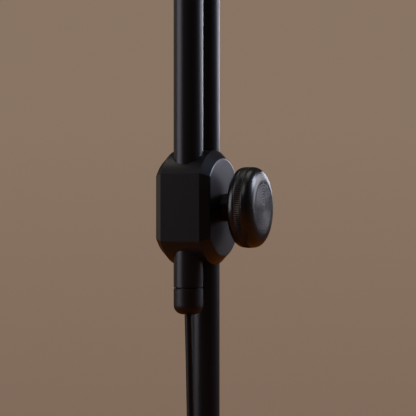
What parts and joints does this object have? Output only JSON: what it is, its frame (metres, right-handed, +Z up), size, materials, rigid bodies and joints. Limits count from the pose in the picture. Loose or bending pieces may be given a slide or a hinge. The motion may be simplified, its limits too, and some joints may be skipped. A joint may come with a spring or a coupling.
{
  "type": "music stand",
  "caption": "Floor-standing music stand with a round weighted base, two parallel tubes in a knob clamp, a slotted tilting desk and a lamp bar.",
  "frame": {"origin": "on the floor at the centre of the round base, midway between the rear post and the mast", "axes": "+Z up, +X towards the clamp's knob, -Y towards the player"},
  "size_m": [0.48, 0.3835, 1.5639],
  "materials": {
    "black_coat": "satin",
    "coated_casting": "satin",
    "black_anodised": "satin",
    "black_plastic": "matte",
    "bright_steel": "satin",
    "brass": "satin",
    "felt": "matte",
    "cord_jacket": "satin",
    "opal": "satin",
    "circuit_board": "matte"
  },
  "bodies": {
    "base": {"base_felt": "felt", "base_disc": "black_coat", "base_bolt": "bright_steel", "post_flange": "black_coat", "flange_set_screw": "bright_steel", "post_plug": "bright_steel", "rear_post": "black_coat", "post_cap": "black_plastic", "cord_lower": "cord_jacket", "cord_coil": "cord_jacket", "cord_tail": "cord_jacket", "plug_body": "black_plastic", "plug_shell": "bright_steel", "plug_tongue": "black_plastic"},
    "clamp": {"clamp_block": "coated_casting", "stud_boss": "black_anodised", "cord_upper": "cord_jacket"},
    "shoe": {"wedge_shoe": "brass"},
    "knob": {"knob": "black_anodised", "knob_stud": "bright_steel"},
    "mast": {"mast_tube": "black_coat", "mast_cap": "black_plastic", "cord_grip": "black_plastic", "inner_lead": "cord_jacket", "mast_head": "black_anodised"},
    "swivel": {"swivel_yoke": "black_anodised", "stem_clip": "bright_steel", "tilt_bolt": "bright_steel", "tilt_nut": "bright_steel", "tilt_washer_left": "black_plastic", "tilt_washer_right": "black_plastic"},
    "desk": {"desk_bracket": "black_anodised", "bracket_screw_left": "bright_steel", "bracket_screw_right": "bright_steel", "desk_plate": "black_coat", "ledge": "black_coat", "ledge_screw_left": "bright_steel", "ledge_screw_right": "bright_steel", "arm_rivet_left": "bright_steel", "arm_rivet_right": "bright_steel", "desk_spine": "black_coat", "spine_lead": "cord_jacket", "lamp_bracket": "black_anodised", "arm_pin": "bright_steel"},
    "page_arm_left": {"page_arm_left": "black_coat"},
    "page_arm_right": {"page_arm_right": "black_coat"},
    "lamp_arm": {"lamp_arm": "black_coat"},
    "lamp": {"lamp_mount": "black_anodised", "lamp_pin": "bright_steel", "lamp_body": "black_anodised", "led_board": "circuit_board", "diffuser": "opal", "lamp_end_left": "black_plastic", "lamp_end_right": "black_plastic", "switch_module": "black_plastic"},
    "button": {"lamp_button": "black_plastic"}
  },
  "joints": [
    {"name": "clamp_slide", "type": "slide", "parent": "base", "child": "clamp", "axis": [0, 0, 1], "range_m": [-0.12, 0.12], "deforming": ["cord_lower"]},
    {"name": "shoe_slide", "type": "slide", "parent": "clamp", "child": "shoe", "axis": [1, 0, 0], "range_m": [0, 0.0008]},
    {"name": "knob_turn", "type": "hinge", "parent": "shoe", "child": "knob", "pos_m": [0, 0, 0.66], "axis": [1, 0, 0], "range_deg": [0, 230]},
    {"name": "mast_slide", "type": "slide", "parent": "clamp", "child": "mast", "axis": [0, 0, 1], "range_m": [-0.22, 0], "deforming": ["cord_upper"]},
    {"name": "desk_swivel", "type": "hinge", "parent": "mast", "child": "swivel", "pos_m": [0, -0.01275, 1.22], "axis": [0, 0, 1], "range_deg": [-90, 90]},
    {"name": "desk_tilt", "type": "hinge", "parent": "swivel", "child": "desk", "pos_m": [0, -0.01275, 1.22], "axis": [1, 0, 0], "range_deg": [-65, 20]},
    {"name": "page_arm_left_turn", "type": "hinge", "parent": "desk", "child": "page_arm_left", "pos_m": [-0.205, -0.07714, 1.1583], "axis": [0, -0.9397, 0.342], "range_deg": [-90, 0]},
    {"name": "page_arm_right_turn", "type": "hinge", "parent": "desk", "child": "page_arm_right", "pos_m": [0.205, -0.07714, 1.1583], "axis": [0, -0.9397, 0.342], "range_deg": [0, 90]},
    {"name": "lamp_arm_tilt", "type": "hinge", "parent": "desk", "child": "lamp_arm", "pos_m": [0, 0.03986, 1.44348], "axis": [1, 0, 0], "range_deg": [-30, 35]},
    {"name": "lamp_head_tilt", "type": "hinge", "parent": "lamp_arm", "child": "lamp", "pos_m": [0, -0.01321, 1.55839], "axis": [1, 0, 0], "range_deg": [-60, 25]},
    {"name": "button_press", "type": "slide", "parent": "lamp", "child": "button", "axis": [0, 0.061, 0.9981], "range_m": [-0.001, 0], "stiffness_N_per_m": 300}
  ],
  "couplings": [
    {"joint": "shoe_slide", "follows": "knob_turn", "m_per_rad": 0.00019894}
  ]
}
